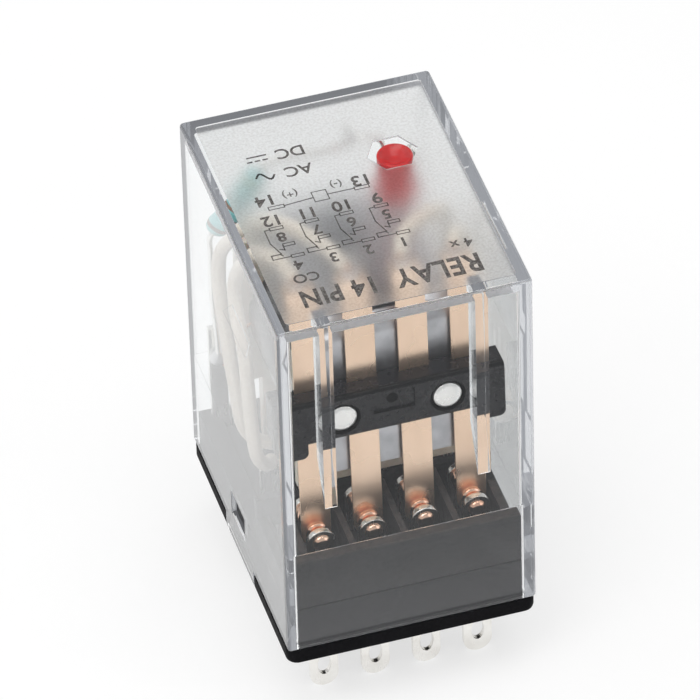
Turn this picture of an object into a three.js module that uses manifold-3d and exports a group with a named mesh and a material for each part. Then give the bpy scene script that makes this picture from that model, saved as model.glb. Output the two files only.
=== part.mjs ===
// Miniature four-pole plug-in relay: a black base with fourteen blade terminals, a clear cover,
// a horizontal coil with an L-shaped yoke, and a hinged armature that carries four contact springs.
// Millimetres. +X right, +Y to the rear, +Z up. The origin is the centre of the flange's underside.
import * as THREE from "three";
import { mergeVertices } from "three/addons/utils/BufferGeometryUtils.js";
import Module from "manifold-3d";

const wasm = await Module();
wasm.setup();

// ---------- driving dimensions ----------
const WIDTH = 21.2;
const LENGTH = 27.5;
const HEIGHT = 36.0;
const FLANGE = 1.5;
const WALL = 0.95;
const ROOF = 1.4;
const CLEAR = 0.05;

const PITCH = 4.4;
const POLES = [-1.5 * PITCH, -0.5 * PITCH, 0.5 * PITCH, 1.5 * PITCH];
const ROW_NC = -9.95;
const ROW_NO = ROW_NC + 4.1;
const ROW_COM = ROW_NO + 6.35;
const ROW_COIL = 10.4;

const BLADE_WIDTH = 2.4;
const BLADE_THICK = 0.5;
const BLADE_LENGTH = 6.4;

const CONTACT_Z = 9.9;
const PLINTH_TOP = 5.35;
const BLOCK_TOP = 10.6;

// The armature turns about the yoke's front edge. It is drawn closed and hung open by THROW.
const PIVOT_Y = -5.8;
const PIVOT_Z = 28.0;
const THROW = THREE.MathUtils.degToRad(3.0);
const SPRING_Y = -7.7;
const SPRING_THICK = 0.2;
const SPRING_WIDTH = 2.5;
const CONTACT_Z_CLOSED = 9.77;

const COIL_Z = 19.3;
const COIL_RADIUS = 6.5;
const FLANGE_FRONT = -5.7;
const FLANGE_REAR = 8.6;

// ---------- materials ----------
function finish(color, roughness, metalness, opacity = 1) {
  return new THREE.MeshStandardMaterial({
    color,
    roughness,
    metalness,
    opacity,
    transparent: opacity < 1,
  });
}

const CLEAR_PLASTIC = finish(0xf2f4f5, 0.08, 0, 0.3);
const BLACK_PLASTIC = finish(0x2a2a2d, 0.45, 0);
const CARD_PLASTIC = finish(0x1f1f22, 0.4, 0);
const BOBBIN_PLASTIC = finish(0xd8d0c2, 0.5, 0);
const COIL_TAPE = finish(0x2c2b2e, 0.5, 0);
const TINNED = finish(0xd9d7d2, 0.25, 1);
const SPRING_ALLOY = finish(0xd9a98a, 0.3, 1);
const CONTACT_COPPER = finish(0xc97a4e, 0.25, 1);
const STEEL = finish(0xb9b9bb, 0.3, 1);
const BLUED_STEEL = finish(0x3a3b40, 0.35, 1);
const SLEEVE = finish(0xe8e0d4, 0.6, 0);
const ENAMEL_WIRE = finish(0xa55a2c, 0.35, 0.6);
const LED_RED = finish(0xc21a1a, 0.15, 0);
const RESISTOR_TEAL = finish(0x5fb3b8, 0.5, 0);

// ---------- shape helpers ----------
function closed(geometry) {
  const bare = geometry.clone();
  bare.deleteAttribute("normal");
  bare.deleteAttribute("uv");
  return mergeVertices(bare, 1e-5);
}

function solid(geometry) {
  const merged = closed(geometry);
  return new wasm.Manifold(new wasm.Mesh({
    numProp: 3,
    vertProperties: Float32Array.from(merged.attributes.position.array),
    triVerts: Uint32Array.from(merged.index.array),
  }));
}

function fromSolid(body) {
  const mesh = body.getMesh();
  const geometry = new THREE.BufferGeometry();
  geometry.setAttribute("position", new THREE.BufferAttribute(mesh.vertProperties, 3));
  geometry.setIndex(new THREE.BufferAttribute(mesh.triVerts, 1));
  geometry.computeVertexNormals();
  return geometry;
}

function join(bodies) {
  return bodies.reduce((sum, body) => sum.add(body));
}

function cutAll(body, cutters) {
  return cutters.reduce((rest, cutter) => rest.subtract(cutter), body);
}

// A box given by its low and high corners.
function span(x0, x1, y0, y1, z0, z1) {
  const geometry = new THREE.BoxGeometry(x1 - x0, y1 - y0, z1 - z0);
  return geometry.translate((x0 + x1) / 2, (y0 + y1) / 2, (z0 + z1) / 2);
}

function roundedRect(width, length, radius) {
  const w = width / 2;
  const l = length / 2;
  const shape = new THREE.Shape();
  shape.moveTo(-w + radius, -l);
  shape.lineTo(w - radius, -l);
  shape.absarc(w - radius, -l + radius, radius, -Math.PI / 2, 0);
  shape.lineTo(w, l - radius);
  shape.absarc(w - radius, l - radius, radius, 0, Math.PI / 2);
  shape.lineTo(-w + radius, l);
  shape.absarc(-w + radius, l - radius, radius, Math.PI / 2, Math.PI);
  shape.lineTo(-w, -l + radius);
  shape.absarc(-w + radius, -l + radius, radius, Math.PI, 1.5 * Math.PI);
  return shape;
}

// A plan outline raised from z0 to z1, with its edges rounded by "edge" when that is given.
function prism(shape, z0, z1, edge = 0) {
  const options = { depth: z1 - z0 - 2 * edge, bevelEnabled: false, curveSegments: 4 };
  if (edge > 0) {
    options.bevelEnabled = true;
    options.bevelThickness = edge;
    options.bevelSize = edge;
    options.bevelOffset = -edge;
    options.bevelSegments = 3;
  }
  return new THREE.ExtrudeGeometry(shape, options).translate(0, 0, z0 + edge);
}

// An outline drawn in X and Z, given thickness along Y between y0 and y1.
function plateXZ(shape, y0, y1, curveSegments = 6) {
  const options = { depth: y1 - y0, bevelEnabled: false, curveSegments };
  return new THREE.ExtrudeGeometry(shape, options).rotateX(Math.PI / 2).translate(0, y1, 0);
}

// An outline drawn in Y and Z, given width along X about x = 0.
function profileYZ(shape, width, curveSegments = 6) {
  const options = { depth: width, bevelEnabled: false, curveSegments };
  const turn = new THREE.Matrix4().makeBasis(
    new THREE.Vector3(0, 1, 0),
    new THREE.Vector3(0, 0, 1),
    new THREE.Vector3(1, 0, 0),
  );
  return new THREE.ExtrudeGeometry(shape, options).translate(0, 0, -width / 2).applyMatrix4(turn);
}

function polygon(points) {
  return new THREE.Shape(points.map(([a, b]) => new THREE.Vector2(a, b)));
}

// A turned piece about an axis parallel to Y. The profile is a list of [radius, y].
function turned(profile, x, z, segments = 12) {
  const points = profile.map(([r, y]) => new THREE.Vector2(r, y));
  return new THREE.LatheGeometry(points, segments).translate(x, 0, z);
}

function rodY(radius, y0, y1, x, z, segments = 12) {
  const geometry = new THREE.CylinderGeometry(radius, radius, y1 - y0, segments);
  return geometry.translate(x, (y0 + y1) / 2, z);
}

function rodZ(radius, z0, z1, x, y, segments = 16) {
  const geometry = new THREE.CylinderGeometry(radius, radius, z1 - z0, segments);
  return geometry.rotateX(Math.PI / 2).translate(x, y, (z0 + z1) / 2);
}

function wire(points, radius, sides, steps) {
  const path = new THREE.CatmullRomCurve3(points.map((p) => new THREE.Vector3(...p)));
  const ring = [];
  for (let i = 0; i < sides; i += 1) {
    const a = (2 * Math.PI * i) / sides;
    ring.push([radius * Math.cos(a), radius * Math.sin(a)]);
  }
  return new THREE.ExtrudeGeometry(polygon(ring), { steps, extrudePath: path });
}

const relay = new THREE.Group();
const moving = new THREE.Group();
relay.add(moving);

function add(name, geometry, material, parent = relay) {
  const mesh = new THREE.Mesh(geometry, material);
  mesh.name = name;
  parent.add(mesh);
  return mesh;
}

// ---------- cover ----------
const TAB_FRONT = -3.75;
const TAB_REAR = 4.1;
const LATCH_Y = 0.35;
const LATCH_Z = 4.45;
const LATCH_HALF_Y = 1.45;
const LATCH_HALF_Z = 0.75;
const PANEL_Z = HEIGHT - 0.12;
const WINDOW_X = 4.7;
const WINDOW_Y = 4.8;
const WINDOW_RADIUS = 2.15;

function coverRib(side) {
  const outline = polygon([
    [-LENGTH / 2 + WALL / 2, HEIGHT - ROOF / 2],
    [-LENGTH / 2 + WALL / 2, 16.0],
    [-LENGTH / 2 + WALL + 0.1, 16.0],
    [-LENGTH / 2 + WALL + 1.9, 20.2],
    [-LENGTH / 2 + WALL + 1.9, HEIGHT - ROOF / 2],
  ]);
  return solid(profileYZ(outline, 1.05).translate(side * 6.45, 0, 0));
}

// A small clear gusset inside each long wall, near the front.
function coverGusset(side) {
  const outline = polygon([[3.0, 24.6], [-3.4, 24.9], [-4.6, 27.4], [0.2, 27.6]]);
  return solid(profileYZ(outline, 0.6).translate(side * (WIDTH / 2 - WALL + 0.2), 0, 0));
}

function coverTab(side) {
  const x = side * (WIDTH / 2 - 0.4);
  return solid(span(x - 0.4, x + 0.4, TAB_FRONT, TAB_REAR, 0.3, 3.0));
}

function latchOpening(side) {
  const wall = side * (WIDTH / 2);
  const h = LATCH_HALF_Y;
  const v = LATCH_HALF_Z;
  const hole = span(wall - 1.5, wall + 1.5, LATCH_Y - h, LATCH_Y + h, LATCH_Z - v, LATCH_Z + v);
  const rim = new THREE.ExtrudeGeometry(
    polygon([[-h, -v], [h, -v], [h, v], [-h, v]]),
    { depth: 0.2, bevelEnabled: true, bevelThickness: 0.5, bevelSize: 0.5, bevelSegments: 1 },
  );
  rim.translate(0, 0, -0.1);
  const turn = new THREE.Matrix4().makeBasis(
    new THREE.Vector3(0, 1, 0),
    new THREE.Vector3(0, 0, 1),
    new THREE.Vector3(1, 0, 0),
  );
  rim.applyMatrix4(turn).translate(wall, LATCH_Y, LATCH_Z);
  return solid(hole).add(solid(rim));
}

// A shallow hexagonal pocket in the panel, over the lamp.
function lampWindow() {
  const corners = [0, 1, 2, 3, 4, 5].map((i) => {
    const a = (Math.PI / 3) * i;
    return [WINDOW_X + WINDOW_RADIUS * Math.cos(a), WINDOW_Y + WINDOW_RADIUS * Math.sin(a)];
  });
  return solid(prism(polygon(corners), PANEL_Z - 0.16, HEIGHT + 0.2));
}

function makeCover() {
  const outer = solid(prism(roundedRect(WIDTH, LENGTH, 0.35), FLANGE + CLEAR, HEIGHT, 0.3));
  const upper = roundedRect(WIDTH - 2 * WALL, LENGTH - 2 * WALL, 0.3);
  const lower = roundedRect(WIDTH - 2 * WALL + 0.2, LENGTH - 2 * WALL + 0.2, 0.3);
  const panel = roundedRect(WIDTH - 2.1, LENGTH - 2.1, 0.3);
  const hollow = solid(prism(upper, 0, HEIGHT - ROOF)).add(solid(prism(lower, 0, 11.6)));
  const shell = outer.subtract(hollow);
  const added = [-1, 1].flatMap((side) => [coverRib(side), coverGusset(side), coverTab(side)]);
  const panelCut = solid(prism(panel, PANEL_Z, HEIGHT + 1));
  const cutters = [panelCut, lampWindow(), latchOpening(-1), latchOpening(1)];
  return cutAll(join([shell, ...added]), cutters);
}

add("cover", fromSolid(makeCover()), CLEAR_PLASTIC);

// ---------- base and contact block ----------
const SLOT_HALF_X = BLADE_WIDTH / 2 + CLEAR;
const SLOT_HALF_Y = BLADE_THICK / 2 + CLEAR;

function bladeSlot(x, y, z0 = -1, z1 = 8) {
  return solid(span(x - SLOT_HALF_X, x + SLOT_HALF_X, y - SLOT_HALF_Y, y + SLOT_HALF_Y, z0, z1));
}

const TERMINAL_PLACES = [ROW_NC, ROW_NO, ROW_COM].flatMap((y) => POLES.map((x) => [-x, y]));
TERMINAL_PLACES.push([POLES[3], ROW_COIL], [POLES[0], ROW_COIL]);

const BLOCK_HALF = 9.6;
const BLOCK_FRONT = -12.7;

function makeBase() {
  const outline = roundedRect(WIDTH, LENGTH, 1.0);
  const edge = solid(prism(outline, 0, 1.2, 0.4));
  const upper = solid(prism(outline, 0.6, FLANGE));
  const plinth = solid(span(-BLOCK_HALF, BLOCK_HALF, BLOCK_FRONT, -BLOCK_FRONT, 1.0, PLINTH_TOP));
  const bumps = [-1, 1].map((side) => {
    const x = side * (BLOCK_HALF + 0.2);
    const h = LATCH_HALF_Y - CLEAR;
    const v = LATCH_HALF_Z - CLEAR;
    return solid(span(x - 0.5, x + 0.5, LATCH_Y - h, LATCH_Y + h, LATCH_Z - v, LATCH_Z + v));
  });
  const notches = [-1, 1].map((side) => {
    const x = side * (WIDTH / 2 + 0.1);
    return solid(span(x - 1.05, x + 1.05, TAB_FRONT - 0.2, TAB_REAR + 0.2, -1, 3.0));
  });
  const slots = TERMINAL_PLACES.map(([x, y]) => bladeSlot(x, y));
  return cutAll(join([edge, upper, plinth, ...bumps]), [...notches, ...slots]);
}

add("base", fromSolid(makeBase()), BLACK_PLASTIC);

const WALL_BACK = -11.7;
const BARRIER_TOP = BLOCK_TOP - 0.1;

function makeContactBlock() {
  const bottom = PLINTH_TOP + CLEAR;
  const floor = solid(span(-BLOCK_HALF, BLOCK_HALF, BLOCK_FRONT, -3.7, bottom, 6.6));
  const front = solid(plateXZ(polygon([
    [-BLOCK_HALF, bottom],
    [BLOCK_HALF, bottom],
    [BLOCK_HALF, BLOCK_TOP - 0.4],
    [BLOCK_HALF - 0.12, BLOCK_TOP - 0.12],
    [BLOCK_HALF - 0.35, BLOCK_TOP],
    [-BLOCK_HALF + 0.35, BLOCK_TOP],
    [-BLOCK_HALF + 0.12, BLOCK_TOP - 0.12],
    [-BLOCK_HALF, BLOCK_TOP - 0.4],
  ]), BLOCK_FRONT, WALL_BACK));
  const groove = solid(profileYZ(polygon([
    [BLOCK_FRONT - 0.1, bottom - 0.1],
    [BLOCK_FRONT + 0.15, bottom - 0.1],
    [BLOCK_FRONT + 0.15, bottom],
    [BLOCK_FRONT, bottom + 0.15],
    [BLOCK_FRONT - 0.1, bottom + 0.15],
  ]), WIDTH));
  const barriers = [-PITCH, 0, PITCH].map((x) => (
    solid(span(x - 0.28, x + 0.28, WALL_BACK - 0.2, -5.0, bottom, BARRIER_TOP))
  ));
  const ends = [-1, 1].map((side) => {
    const x = side * 8.5;
    return solid(span(x - 0.35, x + 0.35, WALL_BACK - 0.2, -7.9, bottom, BARRIER_TOP));
  });
  const back = solid(span(-BLOCK_HALF, BLOCK_HALF, -4.5, -3.7, bottom, 10.2));
  const steps = [-1, 1].map((side) => {
    const x = side * 9.05;
    return solid(span(x - 0.55, x + 0.55, WALL_BACK - 0.2, -3.8, bottom, 8.4));
  });
  const spine = solid(span(-0.28, 0.28, -5.2, -4.2, bottom, 10.2));
  const slots = TERMINAL_PLACES.slice(0, 8).map(([x, y]) => bladeSlot(x, y));
  return cutAll(join([floor, front, back, spine, ...barriers, ...ends, ...steps]), [groove, ...slots]);
}

add("contact_block", fromSolid(makeContactBlock()), BLACK_PLASTIC);

// ---------- terminals ----------
function bladeOutline(top, round) {
  const h = BLADE_WIDTH / 2;
  const shape = new THREE.Shape();
  shape.moveTo(-h, -BLADE_LENGTH + h);
  shape.absarc(0, -BLADE_LENGTH + h, h, Math.PI, 2 * Math.PI);
  if (round) {
    shape.lineTo(h, top - h);
    shape.absarc(0, top - h, h, 0, Math.PI);
  } else {
    shape.lineTo(h, top);
    shape.lineTo(-h, top);
  }
  return shape;
}

function solderEye(z) {
  const eye = new THREE.Path();
  eye.absellipse(0, z, 0.55, 1.1, 0, 2 * Math.PI, true);
  return eye;
}

function roundEye(x, z, radius) {
  const eye = new THREE.Path();
  eye.absarc(x, z, radius, 0, 2 * Math.PI, true);
  return eye;
}

const EYE_Z = -BLADE_LENGTH + 2.3;

function contactTerminal() {
  const shape = bladeOutline(CONTACT_Z + BLADE_WIDTH / 2, true);
  shape.holes.push(solderEye(EYE_Z), roundEye(0, CONTACT_Z, 0.62));
  return shape;
}

function commonTerminal() {
  const shape = bladeOutline(8.9, false);
  shape.holes.push(solderEye(EYE_Z));
  return shape;
}

// The coil terminals step outwards above the base and end in a tall soldering lug with an eye.
function coilTerminal(side) {
  const h = BLADE_WIDTH / 2;
  const outer = side * 2.45;
  const inner = side * 0.95;
  const step = PLINTH_TOP + 0.6;
  const lug = 16.4;
  const shape = new THREE.Shape();
  shape.moveTo(-h, -BLADE_LENGTH + h);
  shape.absarc(0, -BLADE_LENGTH + h, h, Math.PI, 2 * Math.PI);
  if (side > 0) {
    shape.lineTo(h, step);
    shape.lineTo(outer, step + 0.8);
    shape.lineTo(outer, lug);
    shape.lineTo(inner, lug);
    shape.lineTo(inner, step + 1.6);
    shape.lineTo(-h, step + 1.0);
  } else {
    shape.lineTo(h, step + 1.0);
    shape.lineTo(inner, step + 1.6);
    shape.lineTo(inner, lug);
    shape.lineTo(outer, lug);
    shape.lineTo(outer, step + 0.8);
    shape.lineTo(-h, step);
  }
  shape.holes.push(solderEye(EYE_Z), roundEye((outer + inner) / 2, 13.2, 0.4));
  return shape;
}

TERMINAL_PLACES.forEach(([x, y], index) => {
  let shape = contactTerminal();
  if (index >= 8) shape = commonTerminal();
  if (index >= 12) shape = coilTerminal(Math.sign(x));
  const plate = plateXZ(shape, y - BLADE_THICK / 2, y + BLADE_THICK / 2, 10);
  add(`terminal_${index + 1}`, plate.translate(x, 0, 0), TINNED);
});

// ---------- fixed contacts ----------
// Each is a rivet through its terminal: a low dome outside and a contact head facing the spring.
function fixedContact(x, row, facing, headHeight) {
  const gap = 0.03;
  const tab = BLADE_THICK / 2 + gap;
  const profile = [
    [0, -tab - 0.42],
    [0.4, -tab - 0.36],
    [0.75, -tab - 0.12],
    [0.78, -tab],
    [0.56, -tab],
    [0.56, tab],
    [1.0, tab],
    [1.0, tab + headHeight - 0.12],
    [0.8, tab + headHeight - 0.03],
    [0, tab + headHeight],
  ];
  const oriented = facing > 0 ? profile : profile.map(([r, y]) => [r, -y]).reverse();
  return turned(oriented.map(([r, y]) => [r, row + y]), x, CONTACT_Z);
}

POLES.forEach((x, i) => {
  const pole = 4 - i;
  add(`fixed_contact_closed_${pole}`, fixedContact(x, ROW_NC, 1, 0.4), CONTACT_COPPER);
  add(`fixed_contact_open_${pole}`, fixedContact(x, ROW_NO, -1, 0.84), CONTACT_COPPER);
});

// ---------- magnet ----------
const CORE_RADIUS = 2.6;
const POLE_RADIUS = 4.2;

function makeBobbin() {
  const front = solid(span(-7.2, 7.2, FLANGE_FRONT, FLANGE_FRONT + 1.0, 12.2, 26.4));
  const rear = solid(span(-7.2, 7.2, FLANGE_REAR - 1.0, FLANGE_REAR, 12.2, 26.4));
  const foot = solid(span(-5.4, 5.4, FLANGE_REAR - 1.0, FLANGE_REAR, PLINTH_TOP + CLEAR, 12.5));
  const tube = solid(rodY(3.5, FLANGE_FRONT + 0.5, FLANGE_REAR - 0.5, 0, COIL_Z, 24));
  const bore = solid(rodY(CORE_RADIUS + 0.1, -8, 12, 0, COIL_Z, 24));
  const seat = solid(rodY(POLE_RADIUS + 0.1, -8, FLANGE_FRONT + 0.75, 0, COIL_Z, 24));
  return cutAll(join([front, rear, foot, tube]), [bore, seat]);
}

add("bobbin", fromSolid(makeBobbin()), BOBBIN_PLASTIC);

add("coil_winding", turned([
  [3.6, FLANGE_FRONT + 1.1],
  [COIL_RADIUS - 0.2, FLANGE_FRONT + 1.1],
  [COIL_RADIUS, FLANGE_FRONT + 1.3],
  [COIL_RADIUS, FLANGE_REAR - 1.3],
  [COIL_RADIUS - 0.2, FLANGE_REAR - 1.1],
  [3.6, FLANGE_REAR - 1.1],
  [3.6, FLANGE_FRONT + 1.1],
], 0, COIL_Z, 36), COIL_TAPE);

add("core", turned([
  [0, -5.9],
  [POLE_RADIUS, -5.9],
  [POLE_RADIUS, -5.02],
  [CORE_RADIUS, -5.02],
  [CORE_RADIUS, 8.66],
  [1.9, 8.66],
  [1.9, 10.06],
  [2.35, 10.06],
  [2.2, 10.4],
  [0, 10.5],
], 0, COIL_Z, 24), STEEL);

const YOKE_TOP = PIVOT_Z;
const YOKE_THICK = 1.35;
const YOKE_REAR = 10.0;

function makeYoke() {
  const shape = new THREE.Shape();
  shape.moveTo(-5.72, YOKE_TOP);
  shape.lineTo(-5.72, YOKE_TOP - YOKE_THICK);
  shape.lineTo(YOKE_REAR - YOKE_THICK + 0.05, YOKE_TOP - YOKE_THICK);
  shape.lineTo(YOKE_REAR - YOKE_THICK + 0.05, 12.6);
  shape.lineTo(YOKE_REAR, 12.6);
  shape.lineTo(YOKE_REAR, YOKE_TOP - 1.3);
  shape.absarc(YOKE_REAR - 1.3, YOKE_TOP - 1.3, 1.3, 0, Math.PI / 2);
  const plate = solid(profileYZ(shape, 12.4));
  const bore = solid(rodY(2.0, 5, 12, 0, COIL_Z));
  const rivetHole = solid(rodZ(0.56, 25, 30, 0, 0.6, 12));
  return cutAll(plate, [bore, rivetHole]);
}

add("yoke", fromSolid(makeYoke()), STEEL);

// A blued leaf lies along the yoke and reaches over the armature's lip to keep it seated.
function makeHingeSpring() {
  const z = YOKE_TOP + CLEAR;
  const shape = polygon([
    [8.2, z],
    [8.2, z + 0.25],
    [-3.5, z + 0.25],
    [-4.3, z + 2.0],
    [-6.6, z + 2.0],
    [-6.6, z + 1.75],
    [-4.45, z + 1.75],
    [-3.65, z],
  ]);
  const hole = solid(rodZ(0.56, 25, 30, 0, 0.6, 12));
  return solid(profileYZ(shape, 3.8)).subtract(hole);
}

add("hinge_spring", fromSolid(makeHingeSpring()), BLUED_STEEL);

function makeHingeRivet() {
  const points = [
    [0, 26.9], [0.5, 26.9], [0.5, 28.35], [1.1, 28.35],
    [1.0, 28.6], [0.55, 28.85], [0, 28.92],
  ];
  const lathe = new THREE.LatheGeometry(points.map(([r, h]) => new THREE.Vector2(r, h)), 16);
  return lathe.rotateX(Math.PI / 2).translate(0, 0.6, 0);
}

add("hinge_spring_rivet", makeHingeRivet(), TINNED);

// ---------- moving assembly, drawn with the armature closed on the core ----------
function makeArmature() {
  const back = -6.0;
  const front = -7.2;
  const lip = 28.2;
  const radius = 1.5;
  const shape = new THREE.Shape();
  shape.moveTo(front, 15.0);
  shape.lineTo(back, 15.0);
  shape.lineTo(back, lip - 0.3);
  shape.absarc(back + 0.3, lip - 0.3, 0.3, Math.PI, Math.PI / 2, true);
  shape.lineTo(-4.9, lip);
  shape.lineTo(-4.9, lip + 1.2);
  shape.lineTo(front + radius, lip + 1.2);
  shape.absarc(front + radius, lip + 1.2 - radius, radius, Math.PI / 2, Math.PI);
  const plate = solid(profileYZ(shape, 14.4));
  const holes = [-PITCH, PITCH].map((x) => solid(rodY(0.78, -8, -5, x, 22.3, 12)));
  return cutAll(plate, holes);
}

add("armature", fromSolid(makeArmature()), STEEL, moving);

const CARD_FRONT = -9.65;
const CARD_BACK = -7.28;
const CARD_TOP = 24.45;
const CARD_BOTTOM = 20.1;
const CARD_HALF = 9.2;
const RIVET_Z = 22.3;

function cardLug(side) {
  const inner = 7.4;
  const low = 19.1;
  const r = 0.55;
  const shape = new THREE.Shape();
  shape.moveTo(inner, 21);
  shape.lineTo(inner, low + r);
  shape.absarc(inner + r, low + r, r, Math.PI, 1.5 * Math.PI);
  shape.absarc(CARD_HALF - r, low + r, r, 1.5 * Math.PI, 2 * Math.PI);
  shape.lineTo(CARD_HALF, 21);
  const plate = plateXZ(shape, CARD_FRONT, -8.3, 4);
  if (side < 0) plate.rotateZ(Math.PI).translate(0, CARD_FRONT - 8.3, 0);
  return solid(plate);
}

function makeCard() {
  const body = solid(profileYZ(polygon([
    [CARD_FRONT, CARD_BOTTOM + 0.5],
    [CARD_FRONT + 0.5, CARD_BOTTOM],
    [CARD_BACK, CARD_BOTTOM],
    [CARD_BACK, CARD_TOP],
    [CARD_FRONT + 0.25, CARD_TOP],
    [CARD_FRONT, CARD_TOP - 0.25],
  ]), 2 * CARD_HALF));
  const slots = POLES.map((x) => (
    solid(span(x - 1.33, x + 1.33, SPRING_Y - 0.17, SPRING_Y + 0.17, 18, 26))
  ));
  const rivets = [-PITCH, PITCH].flatMap((x) => [
    solid(rodY(0.8, -12, -6, x, RIVET_Z, 12)),
    solid(rodY(1.5, -12, CARD_FRONT + 0.45, x, RIVET_Z, 24)),
  ]);
  const badge = solid(span(-1.85, 1.65, -12, CARD_FRONT + 0.25, 22.1, 24.0));
  const dot = solid(rodY(0.5, -12, CARD_FRONT + 0.4, -0.2, 23.2, 16));
  return cutAll(join([body, cardLug(-1), cardLug(1)]), [...slots, ...rivets, badge, dot]);
}

add("card", fromSolid(makeCard()), CARD_PLASTIC, moving);

[["left", -PITCH], ["right", PITCH]].forEach(([name, x]) => {
  const rivet = turned([
    [0, CARD_FRONT - 0.06],
    [0.95, CARD_FRONT - 0.02],
    [1.2, CARD_FRONT + 0.1],
    [1.2, CARD_FRONT + 0.41],
    [0.7, CARD_FRONT + 0.41],
    [0.7, -6.06],
    [0, -6.06],
  ], x, RIVET_Z, 20);
  add(`card_rivet_${name}`, rivet, TINNED, moving);
});

function makeMovingSpring() {
  const y0 = SPRING_Y - SPRING_THICK / 2;
  const y1 = SPRING_Y + SPRING_THICK / 2;
  const bend = 1.0;
  const top = 32.8;
  const end = -5.6;
  const side = new THREE.Shape();
  side.moveTo(y0, 8.0);
  side.lineTo(y1, 8.0);
  side.lineTo(y1, top - bend);
  side.absarc(y0 + bend, top - bend, bend - SPRING_THICK, Math.PI, Math.PI / 2, true);
  side.lineTo(end, top - SPRING_THICK);
  side.lineTo(end, top);
  side.lineTo(y0 + bend, top);
  side.absarc(y0 + bend, top - bend, bend, Math.PI / 2, Math.PI);
  const h = SPRING_WIDTH / 2;
  const low = CONTACT_Z_CLOSED - 1.2;
  const face = new THREE.Shape();
  face.moveTo(-h, low + 1.0);
  face.absarc(-h + 1.0, low + 1.0, 1.0, Math.PI, 1.5 * Math.PI);
  face.absarc(h - 1.0, low + 1.0, 1.0, 1.5 * Math.PI, 2 * Math.PI);
  face.lineTo(h, 40);
  face.lineTo(-h, 40);
  face.holes.push(roundEye(0, CONTACT_Z_CLOSED, 0.52));
  return solid(profileYZ(side, 2 * SPRING_WIDTH)).intersect(solid(plateXZ(face, -12, 0)));
}

const springSolid = makeMovingSpring();

// A contact head on each face of the spring, joined through its eye.
function movingContact(x) {
  const front = SPRING_Y - SPRING_THICK / 2 - 0.02;
  const rear = SPRING_Y + SPRING_THICK / 2 + 0.02;
  return turned([
    [0, front - 0.38],
    [0.75, front - 0.32],
    [0.92, front - 0.2],
    [0.92, front],
    [0.46, front],
    [0.46, rear],
    [0.92, rear],
    [0.92, rear + 0.38],
    [0.75, rear + 0.5],
    [0, rear + 0.55],
  ], x, CONTACT_Z_CLOSED);
}

POLES.forEach((x, i) => {
  const pole = 4 - i;
  add(`moving_spring_${pole}`, fromSolid(springSolid).translate(x, 0, 0), SPRING_ALLOY, moving);
  add(`moving_contact_${pole}`, movingContact(x), CONTACT_COPPER, moving);
});

// Hang the whole moving assembly open about the pivot line.
moving.rotation.x = -THROW;
moving.position.set(
  0,
  PIVOT_Y - (PIVOT_Y * Math.cos(THROW) + PIVOT_Z * Math.sin(THROW)),
  PIVOT_Z - (-PIVOT_Y * Math.sin(THROW) + PIVOT_Z * Math.cos(THROW)),
);

// ---------- flexible leads from the springs to the common terminals ----------
const LEAD_START_Y = -4.95;
const LEAD_TOP = 32.9;
const LEAD_END_Z = 9.85;
const LEAD_ROUTES = {
  4: [[-6.6, LEAD_START_Y, LEAD_TOP], [-7.0, -3.0, 33.2], [-8.2, 0.6, 31.4], [-8.85, 2.2, 27.5],
    [-8.85, -0.2, 22.5], [-8.8, -1.2, 16.0], [-8.4, -1.4, 12.0], [-7.3, -0.5, 10.1],
    [-6.7, 0.4, LEAD_END_Z]],
  3: [[-2.2, LEAD_START_Y, LEAD_TOP], [-3.2, -2.4, 33.4], [-6.2, 2.8, 32.6], [-8.5, 6.2, 28.5],
    [-8.85, 6.9, 25.0], [-8.85, 5.4, 20.5], [-8.8, 3.3, 16.0], [-8.3, 2.1, 11.8], [-6.4, 1.9, 10.2],
    [-3.4, 1.4, 10.0], [-2.4, 0.8, LEAD_END_Z]],
  2: [[2.2, LEAD_START_Y, LEAD_TOP], [3.4, -2.6, 33.3], [7.2, 0.6, 32.0], [8.8, 3.0, 28.0],
    [8.85, 4.2, 24.0], [8.85, 4.0, 20.0], [8.8, 3.0, 15.5], [8.3, 2.1, 11.8], [6.4, 1.9, 10.2],
    [3.4, 1.4, 10.0], [2.4, 0.8, LEAD_END_Z]],
  1: [[6.6, LEAD_START_Y, LEAD_TOP], [7.4, -3.6, 32.8], [8.7, -1.8, 30.2], [8.85, -1.0, 26.0],
    [8.85, -0.9, 21.0], [8.8, -1.2, 16.0], [8.4, -1.4, 12.0], [7.3, -0.5, 10.1],
    [6.7, 0.4, LEAD_END_Z]],
};

Object.entries(LEAD_ROUTES).forEach(([pole, route]) => {
  add(`flexible_lead_${pole}`, wire(route, 0.6, 8, 24), SLEEVE);
});

// ---------- coil wires, lamp and resistor ----------
[["left", -1], ["right", 1]].forEach(([name, side]) => {
  const route = [
    [side * 7.0, 6.9, 18.6], [side * 7.5, 7.4, 17.0],
    [side * 7.7, 8.6, 14.4], [side * 7.9, 9.8, 12.4],
  ];
  add(`coil_wire_${name}`, wire(route, 0.16, 5, 8), ENAMEL_WIRE);
});

const LED_X = 5.15;
const LED_Y = 5.6;
const LED_FOOT = 30.4;

// The lamp stands upright with its dished top close under the window.
function makeLed() {
  const profile = [
    [0, LED_FOOT],
    [1.85, LED_FOOT],
    [1.85, LED_FOOT + 0.8],
    [1.5, LED_FOOT + 0.8],
    [1.5, LED_FOOT + 3.6],
    [1.3, LED_FOOT + 3.9],
    [1.1, LED_FOOT + 3.85],
    [0, LED_FOOT + 3.2],
  ];
  const lathe = new THREE.LatheGeometry(profile.map(([r, h]) => new THREE.Vector2(r, h)), 24);
  return lathe.rotateX(Math.PI / 2).translate(LED_X, LED_Y, 0);
}

add("led", makeLed(), LED_RED);

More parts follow.
